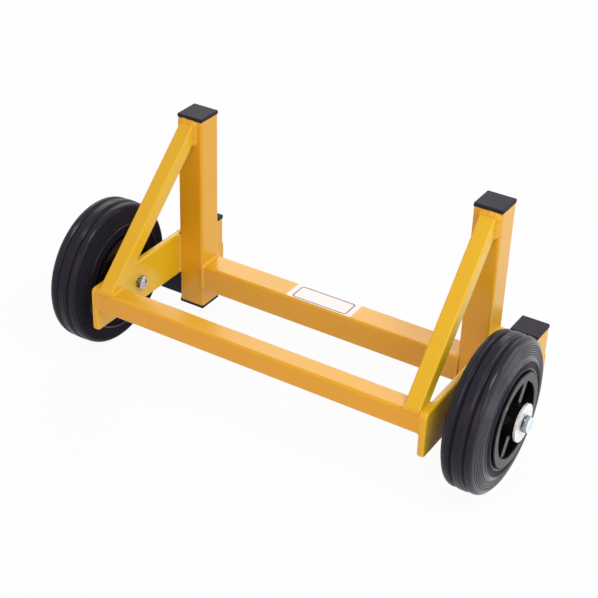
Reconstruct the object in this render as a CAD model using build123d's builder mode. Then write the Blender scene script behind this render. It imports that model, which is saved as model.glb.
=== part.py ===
from build123d import *
import os
from math import cos, radians

# Two-wheeled board carrier, in millimetres.
# +Z is up, +X points to the right-hand wheel and +Y to the board slot at the back.
# The origin is on the ground, in the middle of the part's outline.

# Box section shared by the uprights, rear rail, feet and short posts
box_size = 40.0
box_wall = 3.0
box_corner = 4.0

# Uprights and the rail between them
upright_tube_length = 290.0
rear_rail_length = 406.0
rear_rail_height = 32.0

# Side plates, cut from flat bar
side_plate_height = 65.0
side_plate_thickness = 10.0
side_plate_reach = 186.5
side_plate_base = 47.0
side_plate_top_corner = 8.0
side_plate_bottom_corner = 5.0
side_plate_edge = 3.0

# Front rail between the side plates
front_rail_size = 30.0
front_rail_wall = 3.0
front_rail_corner = 4.0
front_rail_drop = 2.5

# Braces from the front rail up to the uprights
brace_size = 22.0
brace_wall = 2.0
brace_corner = 2.5
brace_head_offset = 2.0
brace_side_gap = 1.2
brace_top_margin = 1.0

# Feet and short posts that hold the lower edge of a board
board_gap = 30.0
foot_cap_setback = 7.0
short_post_tube_length = 42.0

# Push-in end caps
cap_head = 5.0
cap_edge = 0.8
cap_corner = 1.2
plug_length = 15.0
plug_wall = 2.0
plug_clearance = 0.2
plug_fin_reach = 2.0
plug_fin_thickness = 1.2
plug_fin_pitch = 4.5
plug_fin_count = 3

# Axle bolt, lock nut and the pieces clamped between them
axle_height_on_plate = 33.0
bolt_diameter = 12.0
bolt_length = 110.0
bolt_tip_chamfer = 1.5
hex_across_flats = 19.0
bolt_head_height = 7.5
bolt_face_diameter = 17.0
bolt_face_height = 0.8
nut_height = 9.0
nut_collar_height = 3.5
nut_collar_diameter = 16.0
nut_collar_edge = 1.2
nut_thread_clearance = 0.05
washer_diameter = 50.0
washer_thickness = 3.0
spacer_diameter = 24.0
spacer_thickness = 4.0
bolt_hole_clearance = 0.25
sleeve_diameter = 20.0
wheel_end_play = 0.5

# Roller bearing in the hub
roller_count = 8
roller_diameter = 5.0
roller_length = 67.0
roller_running_gap = 0.05
cage_length = 74.0
cage_inner_gap = 0.5
cage_outer_gap = 0.4
cage_pocket_gap = 0.3

# Moulded wheel centre
hub_length = 75.0
hub_diameter = 44.0
hub_edge = 1.5
web_thickness = 8.0
rim_width = 63.0
rim_diameter = 123.0
rim_bore_diameter = 100.0
rim_edge = 1.0
rim_lip_width = 6.0
rim_channel_depth = 4.5
recess_draft = 1.5
spoke_count = 4
spoke_width = 11.0
spoke_angle = 60.0
spoke_setback = 3.5

# Rubber tyre
tyre_diameter = 206.0
tread_width = 40.6
tread_crown = 1.2
tread_groove_spread = 17.0
tread_groove_width = 5.0
tread_groove_depth = 2.6
middle_rib_crown = 0.5
shoulder_radius = 8.0
bead_width = 53.6
bead_diameter = 151.6
bead_dish = 2.0
tyre_foot_width = 57.0
tyre_foot_diameter = 130.0
tyre_seat_gap = 0.1

# Heights above the ground
wheel_radius = tyre_diameter / 2
axle_z = wheel_radius
side_plate_z = axle_z - axle_height_on_plate
upright_base_z = side_plate_z - side_plate_base
upright_tube_z = upright_base_z + cap_head
upright_tube_top_z = upright_tube_z + upright_tube_length
rear_rail_z = upright_base_z + rear_rail_height + box_size / 2
side_plate_top_z = side_plate_z + side_plate_height
front_rail_top_z = side_plate_top_z - front_rail_drop
foot_z = side_plate_z - box_size / 2
short_post_z = side_plate_z
short_post_tube_top_z = short_post_z + short_post_tube_length

# Places from front to back, with the outline centred on Y = 0
axle_setback = side_plate_reach / 2
rear_reach = box_size + board_gap + box_size + cap_head
upright_front_y = (axle_setback + wheel_radius - rear_reach) / 2
upright_y = upright_front_y + box_size / 2
upright_back_y = upright_front_y + box_size
front_edge_y = upright_front_y - side_plate_reach
axle_y = upright_front_y - axle_setback
front_rail_y = front_edge_y + front_rail_size / 2
foot_front_y = upright_front_y + foot_cap_setback + cap_head
foot_back_y = upright_back_y + board_gap + box_size
short_post_y = foot_back_y - box_size / 2

# Places from the middle plane out to each side
upright_x = (rear_rail_length + box_size) / 2
side_plate_x = upright_x + box_size / 2
foot_x = side_plate_x + box_size / 2
spacer_x = side_plate_x + side_plate_thickness
inner_washer_x = spacer_x + spacer_thickness
sleeve_x = inner_washer_x + washer_thickness
sleeve_length = hub_length + 2 * wheel_end_play
wheel_x = sleeve_x + sleeve_length / 2
outer_washer_x = sleeve_x + sleeve_length
bolt_head_x = outer_washer_x + washer_thickness

# Radii of the round pieces
bolt_radius = bolt_diameter / 2
bolt_hole_radius = bolt_radius + bolt_hole_clearance
sleeve_radius = sleeve_diameter / 2
roller_radius = roller_diameter / 2
roller_circle_radius = sleeve_radius + roller_running_gap + roller_radius
hub_bore_radius = roller_circle_radius + roller_radius + roller_running_gap
rim_radius = rim_diameter / 2
rim_bore_radius = rim_bore_diameter / 2
rim_channel_radius = rim_radius - rim_channel_depth

sides = (("left", -1), ("right", 1))


def save(piece, name):
    """Label a finished piece and write it as its own file."""
    piece.part.label = name
    export_step(piece.part, f"parts/{name}.step")


def tube_section(size, wall, corner):
    """Draw a hollow square section with rounded corners in the open sketch."""
    inner_size = size - 2 * wall
    RectangleRounded(size, size, corner)
    Rectangle(inner_size, inner_size, mode=Mode.SUBTRACT)


def across(x, y, z, sign=1):
    """Plane square to the X axis, facing outwards on the side given by sign."""
    return Plane(origin=(sign * x, y, z), x_dir=(0, sign, 0), z_dir=(sign, 0, 0))


def axle_profile(sign):
    """Plane through a wheel's axis: X runs along the axle, Y is the radius."""
    return Plane(origin=(sign * wheel_x, axle_y, axle_z), x_dir=(1, 0, 0), z_dir=(0, -1, 0))


def hexagon_trim(x, direction, height):
    """Cut the corners of a hexagon's outer face back to a cone, as on a forged head."""
    flat_radius = hex_across_flats / 2
    corner_radius = flat_radius / cos(radians(30))
    corner_drop = (corner_radius - flat_radius) / 2
    half_plane = Plane(origin=(x, axle_y, axle_z), x_dir=(direction, 0, 0), z_dir=(0, -direction, 0))
    with BuildSketch(half_plane) as envelope:
        with BuildLine():
            Polyline(
                (0, 0),
                (0, corner_radius),
                (height - corner_drop, corner_radius),
                (height, flat_radius),
                (height, 0),
                close=True,
            )
        make_face()
    revolve(envelope.sketch, axis=Axis((0, axle_y, axle_z), (1, 0, 0)), mode=Mode.INTERSECT)


os.makedirs("parts", exist_ok=True)

# Rear rail, welded between the uprights and flush with their faces
with BuildPart() as rear_rail:
    with BuildSketch(across(-rear_rail_length / 2, upright_y, rear_rail_z)):
        tube_section(box_size, box_wall, box_corner)
    extrude(amount=rear_rail_length)
save(rear_rail, "rear_rail")

# Front rail, welded between the side plates and flush with their front edges
with BuildPart() as front_rail:
    with BuildSketch(across(-side_plate_x, front_rail_y, front_rail_top_z - front_rail_size / 2)):
        tube_section(front_rail_size, front_rail_wall, front_rail_corner)
    extrude(amount=2 * side_plate_x)
save(front_rail, "front_rail")

for side, sign in sides:
    # Upright: the back rest for the board
    with BuildPart() as upright:
        with BuildSketch(Plane(origin=(sign * upright_x, upright_y, upright_tube_z))):
            tube_section(box_size, box_wall, box_corner)
        extrude(amount=upright_tube_length)
    save(upright, f"{side}_upright")

    # Side plate on the upright's outer face, with rounded front corners and the axle hole
    side_plate_length = side_plate_reach + box_size
    side_plate_middle_y = front_edge_y + side_plate_length / 2
    side_plate_middle_z = side_plate_z + side_plate_height / 2
    with BuildPart() as side_plate:
        with BuildSketch(across(side_plate_x, side_plate_middle_y, side_plate_middle_z, sign)) as outline:
            Rectangle(side_plate_length, side_plate_height)
            front_group = 0 if sign > 0 else -1
            top_corner = outline.vertices().group_by(Axis.X)[front_group].sort_by(Axis.Y)[-1]
            fillet(top_corner, side_plate_top_corner)
            bottom_corner = outline.vertices().group_by(Axis.X)[front_group].sort_by(Axis.Y)[0]
            fillet(bottom_corner, side_plate_bottom_corner)
        extrude(amount=side_plate_thickness)
        fillet(side_plate.edges().group_by(Axis.X)[0], side_plate_edge)
        fillet(side_plate.edges().group_by(Axis.X)[-1], side_plate_edge)
        with BuildSketch(across(side_plate_x, axle_y, axle_z, sign)):
            Circle(bolt_hole_radius)
        extrude(amount=side_plate_thickness, mode=Mode.SUBTRACT)
    save(side_plate, f"{side}_side_plate")

    # Brace: mitred to stand on the front rail and meet the upright just below its cap
    brace_foot_x = side_plate_x - brace_side_gap - brace_size / 2
    brace_head_x = upright_x + brace_head_offset
    brace_foot = Vector(sign * brace_foot_x, front_edge_y, front_rail_top_z)
    brace_head = Vector(sign * brace_head_x, upright_front_y, upright_tube_top_z - brace_top_margin)
    brace_line = brace_head - brace_foot
    brace_overrun = 2 * brace_size
    brace_start = brace_foot - brace_line.normalized() * brace_overrun
    with BuildPart() as brace:
        with BuildSketch(Plane(origin=brace_start, x_dir=(1, 0, 0), z_dir=brace_line)):
            with Locations((0, brace_size / 2)):
                tube_section(brace_size, brace_wall, brace_corner)
        extrude(amount=brace_line.length + 2 * brace_overrun)
        split(bisect_by=Plane.XY.offset(front_rail_top_z), keep=Keep.TOP)
        split(bisect_by=Plane.XZ.offset(-upright_front_y), keep=Keep.TOP)
    save(brace, f"{side}_brace")

    # Foot tube: runs back from under the side plate and carries the board
    with BuildPart() as foot_tube:
        with BuildSketch(Plane(origin=(sign * foot_x, foot_back_y, foot_z), z_dir=(0, -1, 0))):
            tube_section(box_size, box_wall, box_corner)
        extrude(amount=foot_back_y - foot_front_y)
    save(foot_tube, f"{side}_foot_tube")

    # Short post: stops the board sliding off the back of the foot
    with BuildPart() as short_post:
        with BuildSketch(Plane(origin=(sign * foot_x, short_post_y, short_post_z))):
            tube_section(box_size, box_wall, box_corner)
        extrude(amount=short_post_tube_length)
    save(short_post, f"{side}_short_post")

    # End caps, each pushed into a tube's mouth
    cap_seats = {
        "upright_top_cap": Plane((sign * upright_x, upright_y, upright_tube_top_z), z_dir=(0, 0, 1)),
        "upright_bottom_cap": Plane((sign * upright_x, upright_y, upright_tube_z), z_dir=(0, 0, -1)),
        "short_post_cap": Plane((sign * foot_x, short_post_y, short_post_tube_top_z), z_dir=(0, 0, 1)),
        "foot_front_cap": Plane((sign * foot_x, foot_front_y, foot_z), z_dir=(0, -1, 0)),
        "foot_rear_cap": Plane((sign * foot_x, foot_back_y, foot_z), z_dir=(0, 1, 0)),
    }
    fin_size = box_size - 2 * box_wall - 2 * plug_clearance
    core_size = fin_size - 2 * plug_fin_reach
    hollow_size = core_size - 2 * plug_wall
    for cap_name, mouth in cap_seats.items():
        with BuildPart() as cap:
            with BuildSketch(mouth):
                RectangleRounded(box_size, box_size, cap_corner)
            extrude(amount=cap_head)
            outer_face = cap.faces().sort_by(Axis(mouth.origin, mouth.z_dir))[-1]
            chamfer(outer_face.edges(), cap_edge)
            with BuildSketch(mouth):
                Rectangle(core_size, core_size)
            extrude(amount=-plug_length)
            for fin in range(1, plug_fin_count + 1):
                with BuildSketch(mouth.offset(-fin * plug_fin_pitch)):
                    Rectangle(fin_size, fin_size)
                extrude(amount=plug_fin_thickness)
            with BuildSketch(mouth):
                Rectangle(hollow_size, hollow_size)
            extrude(amount=-plug_length, mode=Mode.SUBTRACT)
        save(cap, f"{side}_{cap_name}")

    # Axle bolt: hexagon head on a round face outside the wheel, tip past the nut inside the plate
    with BuildPart() as axle_bolt:
        with BuildSketch(across(bolt_head_x + bolt_face_height, axle_y, axle_z, sign)):
            RegularPolygon(hex_across_flats / 2, 6, major_radius=False)
        extrude(amount=bolt_head_height - bolt_face_height)
        hexagon_trim(sign * bolt_head_x, sign, bolt_head_height)
        with BuildSketch(across(bolt_head_x, axle_y, axle_z, sign)):
            Circle(bolt_face_diameter / 2)
        extrude(amount=bolt_face_height)
        with BuildSketch(across(bolt_head_x, axle_y, axle_z, sign)):
            Circle(bolt_radius)
        extrude(amount=-bolt_length)
        tip_edge = axle_bolt.edges().filter_by(GeomType.CIRCLE).sort_by(Axis.X)[0 if sign > 0 else -1]
        chamfer(tip_edge, bolt_tip_chamfer)
    save(axle_bolt, f"{side}_axle_bolt")

    # Lock nut on the plate's inner face, with the round collar of its insert
    nut_inner_x = side_plate_x - nut_height
    with BuildPart() as lock_nut:
        with BuildSketch(across(side_plate_x, axle_y, axle_z, sign)):
            RegularPolygon(hex_across_flats / 2, 6, major_radius=False)
        extrude(amount=-nut_height)
        hexagon_trim(sign * side_plate_x, -sign, nut_height)
        with BuildSketch(across(nut_inner_x, axle_y, axle_z, sign)):
            Circle(nut_collar_diameter / 2)
        extrude(amount=-nut_collar_height)
        collar_edge = lock_nut.edges().filter_by(GeomType.CIRCLE).sort_by(Axis.X)[0 if sign > 0 else -1]
        chamfer(collar_edge, nut_collar_edge)
        with BuildSketch(across(side_plate_x, axle_y, axle_z, sign)):
            Circle(bolt_radius + nut_thread_clearance)
        extrude(amount=-(nut_height + nut_collar_height), mode=Mode.SUBTRACT)
    save(lock_nut, f"{side}_lock_nut")

    # Spacer, washers and sleeve: clamped by the bolt, so that the wheel runs free between them
    clamped_rings = {
        "axle_spacer": (spacer_x, spacer_diameter, spacer_thickness),
        "inner_washer": (inner_washer_x, washer_diameter, washer_thickness),
        "axle_sleeve": (sleeve_x, sleeve_diameter, sleeve_length),
        "outer_washer": (outer_washer_x, washer_diameter, washer_thickness),
    }
    for ring_name, (ring_x, ring_diameter, ring_length) in clamped_rings.items():
        with BuildPart() as ring:
            with BuildSketch(across(ring_x, axle_y, axle_z, sign)):
                Circle(ring_diameter / 2)
                Circle(bolt_hole_radius, mode=Mode.SUBTRACT)
            extrude(amount=ring_length)
        save(ring, f"{side}_{ring_name}")

    # Bearing rollers, spaced round the sleeve
    roller_end_x = wheel_x - roller_length / 2
    with BuildPart() as rollers:
        with BuildSketch(across(roller_end_x, axle_y, axle_z, sign)):
            with PolarLocations(roller_circle_radius, roller_count):
                Circle(roller_radius)
        extrude(amount=roller_length)
    save(rollers, f"{side}_bearing_rollers")

    # Bearing cage: a thin tube with a pocket for each roller
    cage_end_x = wheel_x - cage_length / 2
    pocket_length = roller_length + 2 * cage_pocket_gap
    with BuildPart() as cage:
        with BuildSketch(across(cage_end_x, axle_y, axle_z, sign)):
            Circle(hub_bore_radius - cage_outer_gap)
            Circle(sleeve_radius + cage_inner_gap, mode=Mode.SUBTRACT)
        extrude(amount=cage_length)
        with BuildSketch(across(wheel_x - pocket_length / 2, axle_y, axle_z, sign)):
            with PolarLocations(roller_circle_radius, roller_count):
                Circle(roller_radius + cage_pocket_gap)
        extrude(amount=pocket_length, mode=Mode.SUBTRACT)
    save(cage, f"{side}_bearing_cage")

    # Wheel centre: hub, web and channelled rim turned as one profile with drafted recesses, and flat spokes
    axle_line = Axis((sign * wheel_x, axle_y, axle_z), (1, 0, 0))
    half_hub = hub_length / 2
    half_web = web_thickness / 2
    half_rim = rim_width / 2
    half_channel = half_rim - rim_lip_width
    hub_radius = hub_diameter / 2
    with BuildPart() as wheel_centre:
        with BuildSketch(axle_profile(sign)):
            with BuildLine():
                Polyline(
                    (-half_hub, hub_bore_radius),
                    (half_hub, hub_bore_radius),
                    (half_hub, hub_radius - hub_edge),
                    (half_hub - hub_edge, hub_radius),
                    (half_web, hub_radius + recess_draft),
                    (half_web, rim_bore_radius - recess_draft),
                    (half_rim - rim_edge, rim_bore_radius),
                    (half_rim, rim_bore_radius + rim_edge),
                    (half_rim, rim_radius - rim_edge),
                    (half_rim - rim_edge, rim_radius),
                    (half_channel, rim_radius),
                    (half_channel, rim_channel_radius),
                    (-half_channel, rim_channel_radius),
                    (-half_channel, rim_radius),
                    (rim_edge - half_rim, rim_radius),
                    (-half_rim, rim_radius - rim_edge),
                    (-half_rim, rim_bore_radius + rim_edge),
                    (rim_edge - half_rim, rim_bore_radius),
                    (-half_web, rim_bore_radius - recess_draft),
                    (-half_web, hub_radius + recess_draft),
                    (hub_edge - half_hub, hub_radius),
                    (-half_hub, hub_radius - hub_edge),
                    close=True,
                )
            make_face()
        revolve(axis=axle_line)
        spoke_span = rim_width - 2 * spoke_setback
        spoke_inner_radius = (hub_bore_radius + hub_radius) / 2
        spoke_outer_radius = (rim_bore_radius + rim_channel_radius) / 2
        spoke_middle_radius = (spoke_inner_radius + spoke_outer_radius) / 2
        with BuildSketch(across(wheel_x - spoke_span / 2, axle_y, axle_z, sign)):
            with PolarLocations(spoke_middle_radius, spoke_count, start_angle=spoke_angle):
                Rectangle(spoke_outer_radius - spoke_inner_radius, spoke_width)
        extrude(amount=spoke_span)
    save(wheel_centre, f"{side}_wheel_centre")

    # Tyre: ribbed tread, sloping side walls and a bead dished down to the rim
    half_tread = tread_width / 2
    half_bead = bead_width / 2
    half_foot = tyre_foot_width / 2
    half_seat = half_channel - tyre_seat_gap
    seat_radius = rim_channel_radius + tyre_seat_gap
    lip_radius = rim_radius + tyre_seat_gap
    foot_radius = tyre_foot_diameter / 2
    bead_radius = bead_diameter / 2
    shoulder_corner = (half_tread, wheel_radius - tread_crown)
    half_spread = tread_groove_spread / 2
    half_groove = tread_groove_width / 2
    groove_edge_radius = wheel_radius - middle_rib_crown
    with BuildPart() as tyre:
        with BuildSketch(axle_profile(sign)) as half_section:
            with BuildLine():
                seat = Polyline(
                    (0, seat_radius),
                    (half_seat, seat_radius),
                    (half_seat, lip_radius),
                    (half_foot, lip_radius),
                    (half_foot, foot_radius),
                )
                dish = SagittaArc(seat @ 1, (half_bead, bead_radius), bead_dish)
                ribbed_side = Polyline(
                    dish @ 1,
                    shoulder_corner,
                    (half_spread + half_groove, groove_edge_radius),
                    (half_spread, wheel_radius - tread_groove_depth),
                    (half_spread - half_groove, groove_edge_radius),
                )
                TangentArc((0, wheel_radius), ribbed_side @ 1, tangent=(1, 0))
                Line((0, wheel_radius), seat @ 0)
            make_face()
            fillet(half_section.vertices().sort_by_distance(shoulder_corner)[0], shoulder_radius)
            mirror(about=Plane.YZ)
        revolve(axis=axle_line)
    save(tyre, f"{side}_tyre")
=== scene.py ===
import math

import bmesh
import bpy
from bpy.props import FloatProperty, FloatVectorProperty, IntProperty, PointerProperty
from mathutils import Matrix, Vector


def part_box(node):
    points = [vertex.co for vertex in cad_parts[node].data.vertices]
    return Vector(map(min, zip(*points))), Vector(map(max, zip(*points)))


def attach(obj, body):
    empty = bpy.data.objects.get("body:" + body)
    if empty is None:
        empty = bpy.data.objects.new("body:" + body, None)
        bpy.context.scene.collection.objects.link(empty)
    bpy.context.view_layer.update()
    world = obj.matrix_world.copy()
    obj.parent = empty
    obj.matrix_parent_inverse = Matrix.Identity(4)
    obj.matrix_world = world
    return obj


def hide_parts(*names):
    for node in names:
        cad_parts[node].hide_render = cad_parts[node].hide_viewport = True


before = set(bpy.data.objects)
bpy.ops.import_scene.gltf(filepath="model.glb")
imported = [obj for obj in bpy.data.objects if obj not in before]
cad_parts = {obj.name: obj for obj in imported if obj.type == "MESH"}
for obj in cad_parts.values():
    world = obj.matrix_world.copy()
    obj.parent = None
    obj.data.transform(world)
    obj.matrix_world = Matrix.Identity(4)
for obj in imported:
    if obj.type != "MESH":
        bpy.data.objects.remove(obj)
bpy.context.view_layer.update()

bl_info = {
    "name": "Board Carrier",
    "version": (1, 0, 0),
    "blender": (4, 5, 0),
    "location": "View3D > Sidebar > Carrier",
    "description": "Dresses the packed frame of a two-wheeled board carrier",
    "category": "Object",
}

WHITE = (1.0, 1.0, 1.0)

# Sides and their direction along X, and the pieces that each side has, by finish
SIDES = {"left": -1, "right": 1}
TUBE_PIECES = ("upright", "foot_tube", "short_post")
BRACKET_PIECES = ("side_plate", "brace")
CAP_PIECES = ("upright_top_cap", "upright_bottom_cap", "short_post_cap", "foot_front_cap")
ZINC_PIECES = ("axle_spacer", "inner_washer", "outer_washer")
STEEL_PIECES = ("axle_sleeve", "bearing_rollers")

# Tyres: their place, and the tiny circle that a section is turned round
TYRE_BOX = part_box("right_tyre")
TYRE_MIDDLE = (TYRE_BOX[0] + TYRE_BOX[1]) / 2
TYRE_RADIUS = (TYRE_BOX[1].z - TYRE_BOX[0].z) / 2
AXIS_RADIUS = 0.000001

# Rear plugs, nuts and bolts
PLUG_EASE = 0.3
NUT_STEPS = 48
NUT_CROWN = 0.96
NUT_CHAMFER = math.radians(30.0)
# Where the painted shade on a nut's flank begins, as a share of the nut's height
FLANK_START = 0.15
# Shares of a bolt head's depth: a painted shadow at its foot below the first, a painted highlight on its
# end face past the second
HEAD_FOOT_SHADOW = 0.24
HEAD_FACE = 0.97
SHARP_ANGLE = math.radians(30.0)
MERGE_GAP = 0.00001

# Weld beads: how far they lie behind faces and stop short of corners and edges
RAIL_INSETS = {"rear_rail": 0.0008, "front_rail": 0.0026}
BACK_INSET = 0.0008
CORNER_GAP = 0.004
EDGE_GAP = 0.001
CAP_GAP = 0.002
POST_GAP = 0.003
END_REACH = 0.0005
HEAD_DROP = 0.0045
HEAD_CORNER = 0.003
FOOT_FRONT_GAP = 0.002
FOOT_BACK_GAP = 0.003
FOOT_LEAN = 0.4

# Weld beads: steps of their shape, and how noise swells and moves them
RIPPLE_STEPS = 6.0
SECTION_STEPS = 16
WANDER_SCALE = 160.0
BLOB_SCALE = 90.0
BLOB_BASE = 0.75
BLOB_SWELL = 0.5
BEAD_LIFT = 0.6

# Camera sensor, and each lamp's place and panel size
SENSOR_WIDTH = 36.0
LAMP_AIM = Vector((0.0, 0.0, 0.12))
LAMPS = {
    "key_lamp": ((1.8, -0.7, 3.2), (1.2, 1.2)),
    "back_lamp": ((-1.25, 2.05, 1.55), (2.4, 1.5)),
    "front_lamp": ((0.4, -2.6, 1.3), (2.2, 1.6)),
    "side_lamp": ((1.15, -0.45, 0.55), (0.5, 0.5)),
    "fill_lamp": ((2.0, 1.5, 1.0), (1.5, 1.2)),
}


# Node trees

class Wire:
    """One value of a node tree; arithmetic on it adds Math nodes."""

    def __init__(self, board, socket):
        self.board = board
        self.socket = socket

    def _math(self, operation, first, second=0.0):
        return self.board.add("ShaderNodeMath", {"operation": operation}, {0: first, 1: second})

    def __add__(self, other):
        return self._math("ADD", self, other)

    def __radd__(self, other):
        return self._math("ADD", other, self)

    def __sub__(self, other):
        return self._math("SUBTRACT", self, other)

    def __rsub__(self, other):
        return self._math("SUBTRACT", other, self)

    def __mul__(self, other):
        return self._math("MULTIPLY", self, other)

    def __rmul__(self, other):
        return self._math("MULTIPLY", other, self)

    def __truediv__(self, other):
        return self._math("DIVIDE", self, other)

    def __rtruediv__(self, other):
        return self._math("DIVIDE", other, self)

    def __pow__(self, other):
        return self._math("POWER", self, other)

    def __lt__(self, other):
        return self._math("LESS_THAN", self, other)

    def __gt__(self, other):
        return self._math("GREATER_THAN", self, other)

    def __abs__(self):
        return self._math("ABSOLUTE", self)

    def at_least(self, other):
        return self._math("MAXIMUM", self, other)

    def at_most(self, other):
        return self._math("MINIMUM", self, other)

    def clamped(self):
        """The value, kept between 0 and 1."""
        return self.at_least(0.0).at_most(1.0)

    def sine(self):
        return self._math("SINE", self)

    def other(self, name):
        """Another output of the node that this value comes from."""
        return Wire(self.board, self.socket.node.outputs[name])


class Board:
    """A node tree being wired up."""

    def __init__(self, tree):
        self.tree = tree

    def add(self, kind, settings=None, sockets=None, out=0):
        """Adds a node, with its settings first and its sockets next, and gives back one output."""
        node = self.tree.nodes.new(kind)
        for name, value in (settings or {}).items():
            setattr(node, name, value)
        for key, value in (sockets or {}).items():
            if isinstance(value, Wire):
                self.tree.links.new(value.socket, node.inputs[key])
            else:
                node.inputs[key].default_value = value
        return Wire(self, node.outputs[out]) if node.outputs else None

    def split(self, vector):
        """The three parts of a vector."""
        parts = self.add("ShaderNodeSeparateXYZ", sockets={0: vector})
        return parts, parts.other("Y"), parts.other("Z")

    def mix(self, share, first, second):
        """A colour between two others."""
        return self.add("ShaderNodeMix", {"data_type": "RGBA"}, {0: share, 6: first, 7: second}, out=2)

    def seen(self):
        """1 for what the camera sees, straight, mirrored or through a clear piece, and 0 for light."""
        ray = self.add("ShaderNodeLightPath", out="Is Camera Ray")
        return (ray + ray.other("Is Glossy Ray") + ray.other("Is Transmission Ray")).at_most(1.0)


class Finish(Board):
    """A material with one surface shader and patterns on the piece's own place in the frame."""

    def __init__(self, name, constants):
        self.material = bpy.data.materials.new(name)
        self.material.use_nodes = True
        super().__init__(self.material.node_tree)
        self.tree.nodes.clear()
        self.shader = self.add("ShaderNodeBsdfPrincipled", sockets=constants)
        self.output = self.tree.nodes.new("ShaderNodeOutputMaterial")
        self.show(self.shader)
        self.place = self.add("ShaderNodeTexCoord", out="Object")

    def show(self, surface):
        """Links a shader to the material's output."""
        self.tree.links.new(surface.socket, self.output.inputs["Surface"])

    def noise(self, scale, detail=2.0):
        """Soft random values between 0 and 1."""
        return self.add("ShaderNodeTexNoise", sockets={
            "Vector": self.place, "Scale": scale, "Detail": detail})

    def shade(self, share, colour, low, high):
        """A colour between a lower and a higher gain of itself."""
        return self.mix(share, rgba(colour, low), rgba(colour, high))

    def radius(self):
        """Distance from the wheels' common axle line."""
        x, y, z = self.split(self.place)
        return ((y - TYRE_MIDDLE.y) ** 2.0 + (z - TYRE_MIDDLE.z) ** 2.0) ** 0.5

    def along(self):
        """Distance from the carrier's middle, along the axles."""
        return abs(self.split(self.place)[0])

    def bump(self, height, distance):
        return self.add("ShaderNodeBump", sockets={"Height": height, "Distance": distance})

    def wear(self, values):
        """Links values to the shader's sockets."""
        for key, value in values.items():
            self.tree.links.new(value.socket, self.shader.socket.node.inputs[key])
        return self.material


def rgba(colour, gain=1.0):
    return tuple(part * gain for part in colour) + (1.0,)


def between(low, high, share):
    """A value that goes from low to high as share goes from 0 to 1."""
    return low + (high - low) * share


def shape_board(name, inputs):
    """A new Geometry Nodes tree with named inputs: its board, and a wire for each input."""
    tree = bpy.data.node_groups.new(name, "GeometryNodeTree")
    tree.interface.new_socket("Geometry", in_out="OUTPUT", socket_type="NodeSocketGeometry")
    for label, kind in inputs:
        tree.interface.new_socket(label, in_out="INPUT", socket_type=kind)
    board = Board(tree)
    entry = board.add("NodeGroupInput")
    return board, {label: entry.other(label) for label, kind in inputs}


def close_shape(board, geometry, finish):
    """Ends a shape tree: smooth faces, plain geometry and its material."""
    smooth = board.add("GeometryNodeSetShadeSmooth", sockets={"Geometry": geometry})
    plain = board.add("GeometryNodeRealizeInstances", sockets={"Geometry": smooth})
    dressed = board.add("GeometryNodeSetMaterial", sockets={"Geometry": plain, "Material": finish})
    board.add("NodeGroupOutput", sockets={"Geometry": dressed})
    return board.tree


# Pieces

def new_object(name, data):
    """A new object at the origin of the scene."""
    made = bpy.data.objects.new(name, data)
    bpy.context.collection.objects.link(made)
    return made


def run_tree(tree, name, mesh, values):
    """Runs a shape tree on a mesh and gives back an object with the plain mesh that it makes."""
    piece = new_object(name, mesh)
    worker = piece.modifiers.new(name, "NODES")
    worker.node_group = tree
    for item in tree.interface.items_tree:
        if item.in_out == "INPUT" and item.name in values:
            worker[item.identifier] = values[item.name]
    graph = bpy.context.evaluated_depsgraph_get()
    made = bpy.data.meshes.new_from_object(piece.evaluated_get(graph))
    piece.modifiers.remove(worker)
    piece.data = made
    made.name = name
    return piece


def shape_piece(name, shape, finish):
    """An object with the mesh of a finished bmesh and its material."""
    mesh = bpy.data.meshes.new(name)
    shape.to_mesh(mesh)
    shape.free()
    mesh.materials.append(finish)
    return new_object(name, mesh)


def fix_piece(piece, body, slot, *nodes):
    """Puts a finished piece on its body."""
    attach(piece, body)
    if nodes:
        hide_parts(*nodes)


def dress(names, material):
    """Gives CAD nodes a material."""
    for name in names:
        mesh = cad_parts[name].data
        mesh.materials.clear()
        mesh.materials.append(material)


def both_sides(kinds):
    return [f"{side}_{kind}" for side in SIDES for kind in kinds]


def plate_faces(side):
    """Places of a side plate's inner and outer face along the axle."""
    low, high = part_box(f"{side}_side_plate")
    return (low.x, high.x) if SIDES[side] > 0 else (high.x, low.x)


def line_mesh(name, lines):
    """A mesh of edges; each line is a list of points, whether it closes, and which way each point leans."""
    points = []
    edges = []
    leans = []
    for line, closed, lean in lines:
        first = len(points)
        points.extend(line)
        leans.extend(lean)
        edges.extend((first + i, first + i + 1) for i in range(len(line) - 1))
        if closed:
            edges.append((len(points) - 1, first))
    mesh = bpy.data.meshes.new(name)
    mesh.from_pydata(points, edges, [])
    stored = mesh.attributes.new("lean", "FLOAT_VECTOR", "POINT")
    for item, lean in zip(stored.data, leans):
        item.vector = Vector(lean).normalized()
    return mesh


def straight_line(start, end, lean):
    """A line between two points that leans one way."""
    return [start, end], False, [lean, lean]


def ring_line(loop, place, leg):
    """A closed line round a tube's end; place turns a flat pair into a point or a direction."""
    line = []
    leans = []
    for i, (x, y) in enumerate(loop):
        before = loop[i - 1]
        after = loop[(i + 1) % len(loop)]
        outwards = Vector(place(after[1] - before[1], before[0] - after[0], 0.0)).normalized()
        line.append(place(x, y, 1.0))
        leans.append(outwards + Vector(leg))
    return line, True, leans


def rounded_loop(low, high, corner, steps=4):
    """Points round a rectangle with round corners, in its own plane."""
    turns = ((high[0], high[1], 0), (low[0], high[1], 1), (low[0], low[1], 2), (high[0], low[1], 3))
    loop = []
    for x, y, quarter in turns:
        middle = (x - math.copysign(corner, x - (low[0] + high[0]) / 2),
                  y - math.copysign(corner, y - (low[1] + high[1]) / 2))
        for step in range(steps + 1):
            angle = math.pi / 2 * (quarter + step / steps)
            loop.append((middle[0] + corner * math.cos(angle), middle[1] + corner * math.sin(angle)))
    return loop


# Settings

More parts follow.
